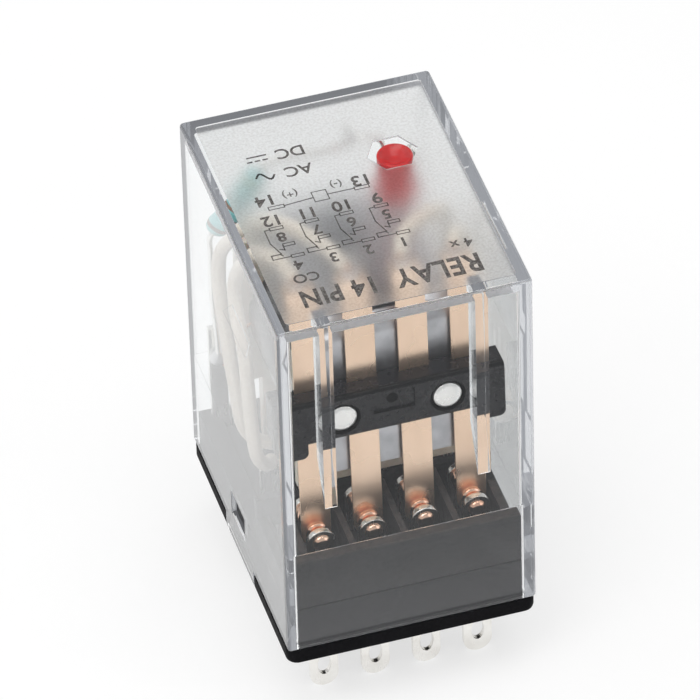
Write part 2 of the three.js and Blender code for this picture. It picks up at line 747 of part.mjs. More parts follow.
const LED_LEAD_TOP = LED_FOOT - CLEAR;
add("led_lead_inner", wire([
  [LED_X - 0.9, LED_Y, LED_LEAD_TOP], [LED_X - 0.9, 6.1, 29.6], [4.6, 8.0, 29.7], [5.4, 9.3, 31.0],
  [5.2, 9.8, 32.4], [4.0, 10.1, 32.8], [2.9, 10.8, 32.9], [2.7, 11.9, 32.9],
], 0.24, 6, 20), TINNED);
add("led_lead_outer", wire([
  [LED_X + 0.9, LED_Y, LED_LEAD_TOP], [LED_X + 1.0, 6.1, 29.6], [6.9, 8.2, 29.9], [7.4, 9.3, 31.4],
  [8.1, 10.0, 30.4], [8.5, 10.2, 27.0], [8.5, 9.9, 21.0], [8.4, 9.6, 17.0], [8.4, 9.7, 14.0],
], 0.24, 6, 24), TINNED);

const RESISTOR_CENTRE = new THREE.Vector3(-6.9, 9.2, 30.0);
const RESISTOR_TILT = THREE.MathUtils.degToRad(34);
const RESISTOR_HALF = 2.9;

function makeResistor() {
  const profile = [
    [0, -RESISTOR_HALF],
    [0.6, -RESISTOR_HALF],
    [0.98, -RESISTOR_HALF + 0.4],
    [0.98, -RESISTOR_HALF + 1.2],
    [0.82, -RESISTOR_HALF + 1.6],
    [0.82, RESISTOR_HALF - 1.6],
    [0.98, RESISTOR_HALF - 1.2],
    [0.98, RESISTOR_HALF - 0.4],
    [0.6, RESISTOR_HALF],
    [0, RESISTOR_HALF],
  ];
  const lathe = new THREE.LatheGeometry(profile.map(([r, h]) => new THREE.Vector2(r, h)), 20);
  lathe.rotateX(Math.PI / 2).rotateY(RESISTOR_TILT);
  return lathe.translate(...RESISTOR_CENTRE);
}

add("resistor", makeResistor(), RESISTOR_TEAL);

function resistorEnd(distance) {
  return [
    RESISTOR_CENTRE.x + distance * Math.sin(RESISTOR_TILT),
    RESISTOR_CENTRE.y,
    RESISTOR_CENTRE.z + distance * Math.cos(RESISTOR_TILT),
  ];
}

add("resistor_lead_inner", wire([
  resistorEnd(RESISTOR_HALF + 0.1), resistorEnd(RESISTOR_HALF + 0.5), [-4.0, 9.25, 33.2],
  [-0.8, 9.25, 33.1], [1.4, 9.5, 33.0], [2.4, 9.9, 32.9],
], 0.24, 6, 14), TINNED);
add("resistor_lead_outer", wire([
  resistorEnd(-RESISTOR_HALF - 0.1), resistorEnd(-RESISTOR_HALF - 0.5), [-8.75, 9.5, 25.5],
  [-8.7, 9.7, 20.0], [-8.5, 9.7, 16.5], [-8.4, 9.7, 14.0],
], 0.24, 6, 14), TINNED);

export default relay;
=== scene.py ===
# Clear-cover plug-in relay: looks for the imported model. Metres, +Z up, origin at the centre of the
# flange's underside. Lengths below are written in millimetres and scaled by MM.
import math

import bmesh
import bpy
import numpy as np
from mathutils import Matrix, Vector


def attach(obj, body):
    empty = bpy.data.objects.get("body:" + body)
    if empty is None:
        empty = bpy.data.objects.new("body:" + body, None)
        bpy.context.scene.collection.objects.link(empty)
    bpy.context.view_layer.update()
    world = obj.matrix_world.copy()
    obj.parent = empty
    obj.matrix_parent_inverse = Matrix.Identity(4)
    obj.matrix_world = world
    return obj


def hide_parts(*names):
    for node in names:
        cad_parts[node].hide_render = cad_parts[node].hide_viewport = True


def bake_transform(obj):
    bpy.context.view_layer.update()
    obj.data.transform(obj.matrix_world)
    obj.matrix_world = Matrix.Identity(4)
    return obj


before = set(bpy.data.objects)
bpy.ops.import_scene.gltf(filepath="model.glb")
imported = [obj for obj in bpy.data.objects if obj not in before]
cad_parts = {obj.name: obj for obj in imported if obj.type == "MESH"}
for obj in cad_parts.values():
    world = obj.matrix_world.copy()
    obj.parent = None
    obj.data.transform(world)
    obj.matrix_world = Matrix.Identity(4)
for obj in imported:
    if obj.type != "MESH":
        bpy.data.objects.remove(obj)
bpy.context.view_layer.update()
MM = 0.001

# ---------- dimensions shared with the CAD model ----------
HEIGHT = 36.0
PANEL_Z = HEIGHT - 0.12
FLANGE_TOP = 1.8
PITCH = 4.4
POLES = [-1.5 * PITCH, -0.5 * PITCH, 0.5 * PITCH, 1.5 * PITCH]
ROW_NC, ROW_NO = -9.95, -5.85
BLADE_THICK = 0.5
BLADE_TIP = -6.4
CONTACT_Z = 9.9
BLOCK_TOP = 10.6
PIVOT = Vector((0.0, -5.8, 28.0))
THROW = math.radians(3.0)
SPRING_Y, SPRING_THICK = -7.7, 0.2
CONTACT_Z_CLOSED = 9.77
COIL_Z, COIL_RADIUS = 19.3, 6.5
FLANGE_FRONT, FLANGE_REAR = -5.7, 8.6
CARD_FRONT, RIVET_Z = -9.65, 22.3
BADGE_DEPTH, WELL_DEPTH = 0.25, 0.5
LED_X, LED_Y, LED_FOOT = 5.15, 5.6, 30.4
RESISTOR_CENTRE = Vector((-6.9, 9.2, 30.0))
RESISTOR_TILT = math.radians(34)
RESISTOR_HALF = 2.9

# The moving pieces are drawn closed and hung open by THROW about the pivot, as the CAD model is.
HUNG = (
    Matrix.Translation(PIVOT)
    @ Matrix.Rotation(-THROW, 4, "X")
    @ Matrix.Translation(-PIVOT)
)


def hung(point):
    return HUNG @ Vector(point)


# ---------- camera ----------
def make_camera():
    azimuth, elevation, roll = math.radians(-15.99), math.radians(41.645), math.radians(-1.722)
    distance, shift_x, shift_y = 716.6, 1.118, -14.896
    back = Vector((
        math.sin(azimuth) * math.cos(elevation),
        -math.cos(azimuth) * math.cos(elevation),
        math.sin(elevation),
    ))
    right = Vector((math.cos(azimuth), math.sin(azimuth), 0))
    up = back.cross(right)
    turned_right = math.cos(roll) * right + math.sin(roll) * up
    turned_up = -math.sin(roll) * right + math.cos(roll) * up
    place = back * distance - shift_x * turned_right - shift_y * turned_up
    camera = bpy.data.objects.new("camera", bpy.data.cameras.new("camera"))
    bpy.context.scene.collection.objects.link(camera)
    rotation = Matrix((turned_right, turned_up, back)).transposed().to_4x4()
    camera.matrix_world = Matrix.Translation(place * MM) @ rotation
    camera.data.sensor_width = 36.0
    camera.data.lens = 445.5
    camera.data.clip_start = 0.05
    camera.data.clip_end = 20
    bpy.context.scene.camera = camera


make_camera()


# ---------- materials ----------
# The cover's bulk: the strength of its painted glow, which stands in for light scattered inside it,
# and how fast it absorbs.
PAINTED_HAZE_GLOW, HAZE_DENSITY = 16.0, 28.0
FROST_ROUGHNESS, FROST_CLARITY = 0.42, 0.965


class Finish:
    """A procedural material: a Principled shader and short ways to build what feeds it."""

    def __init__(self, name, **sockets):
        self.material = bpy.data.materials.new(name)
        self.material.use_nodes = True
        self.tree = self.material.node_tree
        self.shader = self.tree.nodes["Principled BSDF"]
        for key, value in sockets.items():
            self.shader.inputs[key.replace("_", " ")].default_value = value

    def node(self, kind, **settings):
        made = self.tree.nodes.new("ShaderNode" + kind)
        for key, value in settings.items():
            setattr(made, key, value)
        return made

    def link(self, source, target):
        self.tree.links.new(source, target)

    def position(self, stretch=(1, 1, 1)):
        """Object coordinates in millimetres, each axis scaled by its stretch."""
        mapping = self.node("Mapping")
        mapping.inputs["Scale"].default_value = [s / MM for s in stretch]
        self.link(self.node("TexCoord").outputs["Object"], mapping.inputs["Vector"])
        return mapping.outputs["Vector"]

    def noise(self, scale, stretch=(1, 1, 1), detail=3.0, rough=0.55):
        made = self.node("TexNoise")
        made.inputs["Scale"].default_value = scale
        made.inputs["Detail"].default_value = detail
        made.inputs["Roughness"].default_value = rough
        self.link(self.position(stretch), made.inputs["Vector"])
        return made.outputs["Fac"]

    def spread(self, value, low, high, start=0.3, end=0.7):
        """Carries a value from start..end on to low..high, clamped."""
        made = self.node("MapRange")
        for key, number in (
            ("From Min", start),
            ("From Max", end),
            ("To Min", low),
            ("To Max", high),
        ):
            made.inputs[key].default_value = number
        self.link(value, made.inputs["Value"])
        return made.outputs["Result"]

    def maths(self, operation, a, b=None, c=None):
        made = self.node("Math", operation=operation)
        for index, value in enumerate((a, b, c)):
            if value is None:
                continue
            if isinstance(value, (int, float)):
                made.inputs[index].default_value = value
            else:
                self.link(value, made.inputs[index])
        return made.outputs[0]

    def mix(self, factor, a, b):
        made = self.node("Mix", data_type="RGBA")
        self.link(factor, made.inputs["Factor"])
        for socket, value in ((made.inputs[6], a), (made.inputs[7], b)):
            if isinstance(value, tuple):
                socket.default_value = (*value[:3], 1.0)
            else:
                self.link(value, socket)
        return made.outputs[2]

    def feeding(self, socket):
        """What is linked to one of the shader's sockets so far."""
        return self.shader.inputs[socket].links[0].from_socket

    def colour(self, source):
        self.link(source, self.shader.inputs["Base Color"])

    def roughness(self, source):
        self.link(source, self.shader.inputs["Roughness"])

    def bump(self, height, strength, distance_mm):
        made = self.node("Bump")
        made.inputs["Strength"].default_value = strength
        made.inputs["Distance"].default_value = distance_mm * MM
        self.link(height, made.inputs["Height"])
        self.link(made.outputs["Normal"], self.shader.inputs["Normal"])

    def axis(self, index):
        """One object coordinate, in millimetres."""
        split = self.node("SeparateXYZ")
        self.link(self.position(), split.inputs[0])
        return split.outputs[index]

    def between(self, value, low, high, soft=0.02):
        """1 where the value lies from low to high, with soft edges."""
        rise = self.spread(value, 0, 1, low - soft, low + soft)
        fall = self.spread(value, 1, 0, high - soft, high + soft)
        return self.maths("MULTIPLY", rise, fall)


def plastic(name, dark, light, rough, grain=4.0, bump=0.06, **sockets):
    """Moulded plastic: slow blotches under a fine grain, which also stands out as bump."""
    f = Finish(name, **sockets)
    blotch = f.noise(0.35, detail=4)
    fine = f.noise(grain, detail=2)
    shade = f.maths("MULTIPLY_ADD", fine, 0.6, f.maths("MULTIPLY", blotch, 0.4))
    f.colour(f.mix(f.spread(shade, 0, 1, 0.36, 0.64), dark, light))
    f.roughness(f.spread(f.noise(1.4), rough - 0.06, rough + 0.08))
    f.bump(fine, bump, 0.02)
    return f


def metal(name, dark, light, rough, streak=(3, 3, 0.4), bump=0.1, **sockets):
    """Metal with slow clouds of tone and faint streaks in its gloss."""
    f = Finish(name, Metallic=1.0, **sockets)
    lines = f.noise(0.8, streak, detail=2)
    f.colour(f.mix(f.spread(f.noise(0.6, detail=4), 0, 1), dark, light))
    f.roughness(f.spread(lines, rough - 0.05, rough + 0.07))
    f.bump(f.noise(0.5, streak, detail=2), bump, 0.003)
    return f


def clear_plastic():
    """Clear cover whose bulk is a little cloudy: it absorbs a little, and glows with painted light,
    an emission in place of the light its cloudiness would scatter. The recessed panel on top is
    frosted.
    Lamps shine straight through it, so the pieces inside are lit."""
    f = Finish("clear_polycarbonate", IOR=1.5, Transmission_Weight=1.0)
    height = f.axis(2)
    frosted = f.between(height, PANEL_Z - 0.03, PANEL_Z + 0.03, 0.01)
    ripple = f.noise(0.25, (1, 1, 0.5), detail=2)
    grain = f.noise(4.6, detail=1)
    bright = f.mix(f.noise(0.3), (0.955, 0.97, 0.975), (0.985, 0.99, 0.99))
    milky = f.mix(f.spread(grain, 0, 1, 0.35, 0.65), (0.76, 0.75, 0.735), (1.0, 1.0, 0.99))
    f.colour(f.mix(frosted, bright, milky))
    clear_rough = f.spread(f.noise(0.8), 0.0, 0.006)
    f.roughness(f.maths("MAXIMUM", clear_rough, f.maths("MULTIPLY", frosted, FROST_ROUGHNESS)))
    clarity = f.spread(frosted, 1.0, FROST_CLARITY, 0, 1)
    f.link(clarity, f.shader.inputs["Transmission Weight"])
    relief = f.maths("MULTIPLY", f.maths("MULTIPLY", grain, frosted), 0.3)
    f.bump(f.maths("ADD", f.maths("MULTIPLY", ripple, 0.8), relief), 0.05, 0.05)
    output = f.tree.nodes["Material Output"]
    through = f.node("BsdfTransparent")
    through.inputs["Color"].default_value = (0.93, 0.94, 0.945, 1)
    chooser = f.node("MixShader")
    f.link(f.node("LightPath").outputs["Is Shadow Ray"], chooser.inputs[0])
    f.link(f.shader.outputs[0], chooser.inputs[1])
    f.link(through.outputs[0], chooser.inputs[2])
    f.link(chooser.outputs[0], output.inputs["Surface"])
    # Painted light: the bulk glows by emission in place of light scattered inside it.
    painted_glow = f.node("Emission")
    painted_glow.inputs["Color"].default_value = (0.90, 0.93, 1.0, 1)
    painted_glow.inputs["Strength"].default_value = PAINTED_HAZE_GLOW
    veil = f.node("VolumeAbsorption")
    veil.inputs["Color"].default_value = (0, 0, 0, 1)
    veil.inputs["Density"].default_value = HAZE_DENSITY
    both = f.node("AddShader")
    f.link(painted_glow.outputs[0], both.inputs[0])
    f.link(veil.outputs[0], both.inputs[1])
    f.link(both.outputs[0], output.inputs["Volume"])
    return f.material


def base_plastic():
    """Black: darkest on the flange, a lighter mottled grey on the plinth inside the cover."""
    shades = (0.006, 0.006, 0.007), (0.012, 0.0115, 0.013)
    f = plastic("black_moulding", *shades, 0.5, Specular_IOR_Level=0.02)
    plinth = f.spread(f.axis(2), 0, 1, FLANGE_TOP - 0.05, FLANGE_TOP + 0.05)
    mottle = f.spread(f.noise(3.0, detail=2), 0, 1)
    matt = f.mix(mottle, (0.03, 0.029, 0.032), (0.052, 0.05, 0.055))
    f.colour(f.mix(plinth, f.feeding("Base Color"), matt))
    return f.material


def block_plastic():
    """Matt black, turning brown in a speckled band along its top edge."""
    shades = (0.017, 0.016, 0.0175), (0.042, 0.040, 0.0435)
    f = plastic("black_thermoset", *shades, 0.52, 3.0, Specular_IOR_Level=0.3)
    # Brown is mixed in by height alone, in a speckled band at the top edge.
    rim = f.between(f.axis(2), BLOCK_TOP - 0.2, BLOCK_TOP + 0.2, 0.03)
    brown_top_band = f.maths("MULTIPLY", rim, f.spread(f.noise(1.6), 0.05, 0.5))
    f.colour(f.mix(brown_top_band, f.feeding("Base Color"), (0.105, 0.082, 0.07)))
    return f.material


def card_plastic():
    """Black moulding, with shadow drawn round its badge and rivets by depth behind its front."""
    shades = (0.008, 0.0075, 0.009), (0.012, 0.011, 0.013)
    f = plastic("card_moulding", *shades, 0.24, 4.0, 0.04, Specular_IOR_Level=0.35)
    ahead = Vector((0, math.cos(THROW), -math.sin(THROW)))
    dot = f.node("VectorMath", operation="DOT_PRODUCT")
    dot.inputs[1].default_value = ahead
    f.link(f.position(), dot.inputs[0])
    depth = f.maths("ADD", dot.outputs["Value"], PIVOT.y - ahead.dot(PIVOT) - CARD_FRONT)
    badge_sides = f.between(depth, 0.04, BADGE_DEPTH - 0.03, 0.01)
    well_sides = f.between(depth, BADGE_DEPTH + 0.03, WELL_DEPTH, 0.01)
    sides = f.maths("MAXIMUM", badge_sides, well_sides)
    f.colour(f.mix(sides, f.feeding("Base Color"), (0.001, 0.001, 0.001)))
    f.roughness(f.maths("MAXIMUM", f.feeding("Roughness"), f.maths("MULTIPLY", sides, 0.95)))
    return f.material


def spring_alloy():
    """Copper alloy strip: even peach, a little greyer and darker in slow clouds."""
    f = Finish("copper_alloy", Metallic=0.95)
    cloud = f.spread(f.noise(0.35, (1, 1, 0.4), detail=3), 0, 1, 0.35, 0.7)
    f.colour(f.mix(cloud, (1.0, 0.75, 0.57), (0.90, 0.66, 0.49)))
    f.roughness(f.spread(f.noise(0.3, detail=1), 0.25, 0.31))
    f.bump(f.noise(0.3, (1, 1, 0.3), detail=0), 0.03, 0.02)
    return f.material


def woven_sleeve():
    f = Finish("woven_sleeve", Sheen_Weight=0.3)
    shade = f.noise(5.0, detail=3)
    f.colour(f.mix(f.spread(shade, 0, 1), (0.66, 0.57, 0.47), (0.86, 0.79, 0.69)))
    f.roughness(f.spread(f.noise(3.0), 0.55, 0.8))
    f.bump(f.noise(12.0, detail=2), 0.4, 0.03)
    return f.material


def lamp_resin():
    f = Finish("red_resin", IOR=1.52, Transmission_Weight=0.25, Specular_IOR_Level=0.3)
    f.colour(f.mix(f.spread(f.noise(0.7), 0, 1), (0.58, 0.001, 0.001), (0.72, 0.003, 0.002)))
    f.roughness(f.spread(f.noise(2.0), 0.08, 0.14))
    f.bump(f.noise(3.0), 0.05, 0.02)
    return f.material


def resistor_lacquer():
    """Teal lacquer with the code rings of a resistor along its own axis."""
    f = Finish("teal_lacquer", Coat_Weight=0.4, Coat_Roughness=0.2)
    along = f.axis(2)
    colour = f.mix(f.spread(f.noise(1.5), 0, 1), (0.16, 0.46, 0.48), (0.24, 0.58, 0.60))
    rings = (
        (-2.15, (0.12, 0.05, 0.03)),
        (-1.0, (0.22, 0.12, 0.08)),
        (-0.2, (0.30, 0.16, 0.06)),
        (2.05, (0.45, 0.33, 0.12)),
    )
    for place, ring in rings:
        colour = f.mix(f.between(along, place - 0.17, place + 0.17, 0.02), colour, ring)
    f.colour(colour)
    f.roughness(f.spread(f.noise(2.5), 0.3, 0.45))
    f.bump(f.noise(4.0), 0.15, 0.02)
    return f.material


def coil_tape():
    f = Finish("black_tape", Coat_Weight=0.5, Coat_Roughness=0.12)
    f.colour(f.mix(f.spread(f.noise(0.8), 0, 1), (0.016, 0.016, 0.018), (0.035, 0.033, 0.034)))
    f.roughness(f.spread(f.noise(1.6, (1, 3, 1)), 0.25, 0.42))
    f.bump(f.noise(0.9, (1, 2.5, 1), detail=4), 0.35, 0.12)
    return f.material


def wound_copper():
    """Enamelled turns: fine rings round the coil's axis."""
    f = Finish("wound_copper", Metallic=0.85)
    wave = f.node("TexWave", bands_direction="Y")
    wave.inputs["Scale"].default_value = 2.4
    wave.inputs["Distortion"].default_value = 0.4
    f.link(f.position(), wave.inputs["Vector"])
    f.colour(f.mix(wave.outputs["Fac"], (0.28, 0.09, 0.03), (0.72, 0.32, 0.14)))
    f.roughness(f.spread(f.noise(2.0), 0.25, 0.4))
    f.bump(wave.outputs["Fac"], 0.6, 0.05)
    return f.material


def printing_ink():
    f = Finish("printing_ink")
    speck = f.spread(f.noise(6.0, detail=1), 0, 1, 0.4, 0.62)
    f.colour(f.mix(speck, (0.06, 0.053, 0.05), (0.2, 0.188, 0.178)))
    f.roughness(f.spread(f.noise(2.0), 0.4, 0.6))
    f.bump(f.noise(8.0), 0.2, 0.01)
    return f.material


TIN = metal("tin_plate", (0.86, 0.84, 0.80), (0.97, 0.96, 0.93), 0.24).material
SILVER = metal("silver_plate", (0.86, 0.85, 0.83), (0.96, 0.95, 0.93), 0.3, (3, 3, 3)).material
ZINC = metal(
    "zinc_plated_steel", (0.44, 0.44, 0.46), (0.62, 0.62, 0.64), 0.34, (3, 0.6, 0.6), 0.03,
).material
BLUED = metal("blued_steel", (0.045, 0.05, 0.065), (0.10, 0.10, 0.12), 0.3, (6, 0.5, 6)).material
COPPER = metal(
    "polished_copper", (0.86, 0.50, 0.35), (0.97, 0.66, 0.50), 0.16, (3, 3, 3), 0.04,
).material
SOLDER = metal("solder", (0.55, 0.55, 0.56), (0.78, 0.78, 0.79), 0.32, (2, 2, 2), bump=0.5).material
ENAMEL = metal("enamelled_wire", (0.45, 0.16, 0.06), (0.75, 0.36, 0.17), 0.28, (3, 3, 3)).material
SPRING = spring_alloy()
BASE_BLACK = base_plastic()
BLOCK_BLACK = block_plastic()
CARD_BLACK = card_plastic()
NYLON = plastic(
    "natural_nylon", (0.66, 0.60, 0.50), (0.78, 0.73, 0.64), 0.42, 5.0, 0.15,
    Subsurface_Weight=0.15, Subsurface_Scale=0.001,
).material
CLEAR = clear_plastic()
SLEEVE = woven_sleeve()
RESIN = lamp_resin()
LACQUER = resistor_lacquer()
TAPE = coil_tape()
TURNS = wound_copper()
INK = printing_ink()


# ---------- carried-over CAD nodes ----------
def dress(node, material, edge_mm=0.05, segments=2):
    """A CAD node with its own shape, softened edges and a real material."""
    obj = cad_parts[node]
    mesh = obj.data
    for name in ("custom_normal", "sharp_edge"):
        if name in mesh.attributes:
            mesh.attributes.remove(mesh.attributes[name])
    mesh.polygons.foreach_set("use_smooth", [True] * len(mesh.polygons))
    weld = obj.modifiers.new("weld", "WELD")
    weld.merge_threshold = 1e-7
    merge = obj.modifiers.new("merge", "DECIMATE")
    merge.decimate_type = "DISSOLVE"
    merge.angle_limit = math.radians(0.3)
    bevel = obj.modifiers.new("edges", "BEVEL")
    bevel.width = edge_mm * MM
    bevel.segments = segments
    bevel.limit_method = "ANGLE"
    bevel.angle_limit = math.radians(32)
    normals = obj.modifiers.new("normals", "WEIGHTED_NORMAL")
    normals.mode = "FACE_AREA"
    normals.weight = 90
    obj.material_slots[0].material = material


dress("cover", CLEAR, 0.11, 3)
dress("base", BASE_BLACK, 0.06)
dress("contact_block", BLOCK_BLACK, 0.06)
dress("bobbin", NYLON, 0.1)
dress("core", ZINC, 0.08)
dress("yoke", ZINC, 0.12)
dress("hinge_spring", BLUED, 0.03)
dress("hinge_spring_rivet", TIN, 0.03)
dress("armature", ZINC, 0.12)
dress("card", CARD_BLACK, 0.08)
for index in range(1, 15):
    dress(f"terminal_{index}", TIN, 0.18, 4)
for pole in range(1, 5):
    dress(f"moving_spring_{pole}", SPRING, 0.03)


# ---------- mesh helpers ----------
def place(mesh, name, material, body, stands_for=(), finish=None):
    """A finished piece on its body, standing for CAD nodes where it replaces them."""
    obj = bpy.data.objects.new(name, mesh)
    bpy.context.scene.collection.objects.link(obj)
    mesh.materials.append(material)
    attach(obj, body)
    if stands_for:
        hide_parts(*stands_for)
    return obj


def to_mesh(bm, name, sharp_deg=35, matrix=None):
    """Turns a shape drawn in millimetres into a smooth-shaded mesh in metres."""
    bmesh.ops.recalc_face_normals(bm, faces=bm.faces)
    if matrix is not None:
        bm.transform(matrix)
    bm.transform(Matrix.Scale(MM, 4))
    mesh = bpy.data.meshes.new(name)
    bm.to_mesh(mesh)
    bm.free()
    mesh.polygons.foreach_set("use_smooth", [True] * len(mesh.polygons))
    mesh.set_sharp_from_angle(angle=math.radians(sharp_deg))
    return mesh


def rounded(profile, steps=4):
    """A profile with each inner corner cut by a small curve, so turned edges catch the light."""
    points = [Vector(p) for p in profile]
    made = [points[0]]
    for before, corner, after in zip(points, points[1:], points[2:]):
        a, b = before - corner, after - corner
        reach = min(0.06, a.length * 0.4, b.length * 0.4)
        if reach < 1e-4:
            made.append(corner)
            continue
        start, end = corner + a.normalized() * reach, corner + b.normalized() * reach
        for i in range(steps + 1):
            t = i / steps
            made.append(start * (1 - t) ** 2 + corner * (2 * t * (1 - t)) + end * t ** 2)
    made.append(points[-1])
    return made


def turned_mesh(name, profile, matrix, segments=48, soften=True):
    """A turned solid about +Y. The profile is a list of (radius, y) from axis to axis."""
    bm = bmesh.new()
    points = rounded(profile) if soften else [Vector(p) for p in profile]
    rings = []
    for radius, along in points:
        if radius < 1e-6:
            rings.append([bm.verts.new((0, along, 0))])
            continue
        angles = [2 * math.pi * i / segments for i in range(segments)]
        ring = [(radius * math.cos(a), along, radius * math.sin(a)) for a in angles]
        rings.append([bm.verts.new(point) for point in ring])
    for low, high in zip(rings, rings[1:]):
        for i in range(segments):
            j = (i + 1) % segments
            if len(low) == 1 and len(high) > 1:
                bm.faces.new((low[0], high[i], high[j]))
            elif len(high) == 1 and len(low) > 1:
                bm.faces.new((low[i], high[0], low[j]))
            elif len(low) > 1:
                bm.faces.new((low[i], high[i], high[j], low[j]))
    return to_mesh(bm, name, 40, matrix)


def curve_points(route, steps):
    """Evenly stepped points on a centripetal spline through the route."""
    p = [np.array(q, float) for q in route]
    p = [2 * p[0] - p[1]] + p + [2 * p[-1] - p[-2]]
    dense = []
    for a, b, c, d in zip(p, p[1:], p[2:], p[3:]):
        t0, t1, t2 = (max(np.linalg.norm(v - u) ** 0.5, 1e-6) for u, v in ((a, b), (b, c), (c, d)))
        m1 = ((b - a) / t0 - (c - a) / (t0 + t1) + (c - b) / t1) * t1
        m2 = ((c - b) / t1 - (d - b) / (t1 + t2) + (d - c) / t2) * t1
        for i in range(40):
            t = i / 40
            h = (
                2 * t ** 3 - 3 * t ** 2 + 1,
                t ** 3 - 2 * t ** 2 + t,
                -2 * t ** 3 + 3 * t ** 2,
                t ** 3 - t ** 2,
            )
            dense.append(h[0] * b + h[1] * m1 + h[2] * c + h[3] * m2)
    dense.append(p[-2])
    dense = np.array(dense)
    length = np.concatenate([[0], np.cumsum(np.linalg.norm(np.diff(dense, axis=0), axis=1))])
    at = np.linspace(0, length[-1], steps + 1)
    return np.stack([np.interp(at, length, dense[:, k]) for k in range(3)], axis=1), at


def tube_mesh(name, route, radius, sides=16, steps=60, shape=None):
    """A closed tube along the route. shape(angle, distance) scales the radius."""
    points, at = curve_points(route, steps)
    bm = bmesh.new()
    tangents = np.gradient(points, axis=0)
    tangents /= np.linalg.norm(tangents, axis=1)[:, None]
    side = np.cross(tangents[0], (0, 0, 1) if abs(tangents[0][2]) < 0.9 else (1, 0, 0))
    side /= np.linalg.norm(side)
    rings = []
    for point, tangent, distance in zip(points, tangents, at):
        side = side - tangent * (side @ tangent)
        side /= np.linalg.norm(side)
        other = np.cross(tangent, side)
        ring = []
        for i in range(sides):
            a = 2 * math.pi * i / sides
            r = radius * (shape(a, distance, at[-1]) if shape else 1.0)
            ring.append(bm.verts.new(point + r * (math.cos(a) * side + math.sin(a) * other)))
        rings.append(ring)
    for low, high in zip(rings, rings[1:]):
        for i in range(sides):
            j = (i + 1) % sides
            bm.faces.new((low[i], low[j], high[j], high[i]))
    bm.faces.new(rings[0][::-1])
    bm.faces.new(rings[-1])
    return to_mesh(bm, name, 50)


def blob_mesh(name, centre, radii, seed, rough):
    """A drop of solder: a sphere pulled about by a few slow waves."""
    bm = bmesh.new()
    bmesh.ops.create_icosphere(bm, subdivisions=4, radius=1.0)
    for v in bm.verts:
        d = v.co.normalized()
        wave = math.sin(3 * d.x + seed) + math.sin(4 * d.y + 2 * seed)
        wave += math.sin(3 * d.z + 3 * seed)
        v.co = d * (1 + rough * wave / 3)
    stretch = Matrix.Diagonal((*radii, 1))
    return to_mesh(bm, name, 60, Matrix.Translation(centre) @ stretch)


def solder(name, centre, radii, seed, body="relay", rough=0.12):
    place(blob_mesh(name, centre, radii, seed, rough), name, SOLDER, body)


# ---------- contacts and rivets ----------
def fixed_contact_profile(facing, head):
    tab = BLADE_THICK / 2 + 0.03
    profile = [
        (0, -tab - 0.42),
        (0.3, -tab - 0.4),
        (0.55, -tab - 0.3),
        (0.72, -tab - 0.13),
        (0.78, -tab),
        (0.56, -tab),
        (0.56, tab),
        (1.0, tab),
        (1.0, tab + head - 0.14),
        (0.8, tab + head - 0.04),
        (0, tab + head),
    ]
    return profile if facing > 0 else [(r, -y) for r, y in profile][::-1]


def moving_contact_profile():
    front, rear = -SPRING_THICK / 2 - 0.02, SPRING_THICK / 2 + 0.02
    return [
        (0, front - 0.38),
        (0.5, front - 0.36),
        (0.75, front - 0.3),
        (0.92, front - 0.17),
        (0.92, front),
        (0.46, front),
        (0.46, rear),
        (0.92, rear),
        (0.92, rear + 0.36),
        (0.78, rear + 0.5),
        (0, rear + 0.55),
    ]


for index, x in enumerate(POLES):
    pole = 4 - index
    for name, row, facing, head in (("closed", ROW_NC, 1, 0.4), ("open", ROW_NO, -1, 0.84)):
        node = f"fixed_contact_{name}_{pole}"
        centre = Matrix.Translation((x, row, CONTACT_Z))
        mesh = turned_mesh(node + "_turned", fixed_contact_profile(facing, head), centre)
        place(mesh, node + "_turned", COPPER, "relay", (node,), "contact_copper")
    node = f"moving_contact_{pole}"
    centre = HUNG @ Matrix.Translation((x, SPRING_Y, CONTACT_Z_CLOSED))
    mesh = turned_mesh(node + "_turned", moving_contact_profile(), centre)
    place(mesh, node + "_turned", COPPER, "armature_set", (node,), "contact_copper")

for side, x in (("left", -PITCH), ("right", PITCH)):
    profile = [
        (0, CARD_FRONT - 0.06),
        (0.6, CARD_FRONT - 0.05),
        (0.97, CARD_FRONT - 0.01),
        (1.2, CARD_FRONT + 0.12),
        (1.2, CARD_FRONT + 0.41),
        (0.7, CARD_FRONT + 0.41),
        (0.7, -6.06),
        (0, -6.06),
    ]
    node = f"card_rivet_{side}"
    mesh = turned_mesh(node + "_turned", profile, HUNG @ Matrix.Translation((x, 0, RIVET_Z)), 56)
    place(mesh, node + "_turned", SILVER, "armature_set", (node,), "tinned")


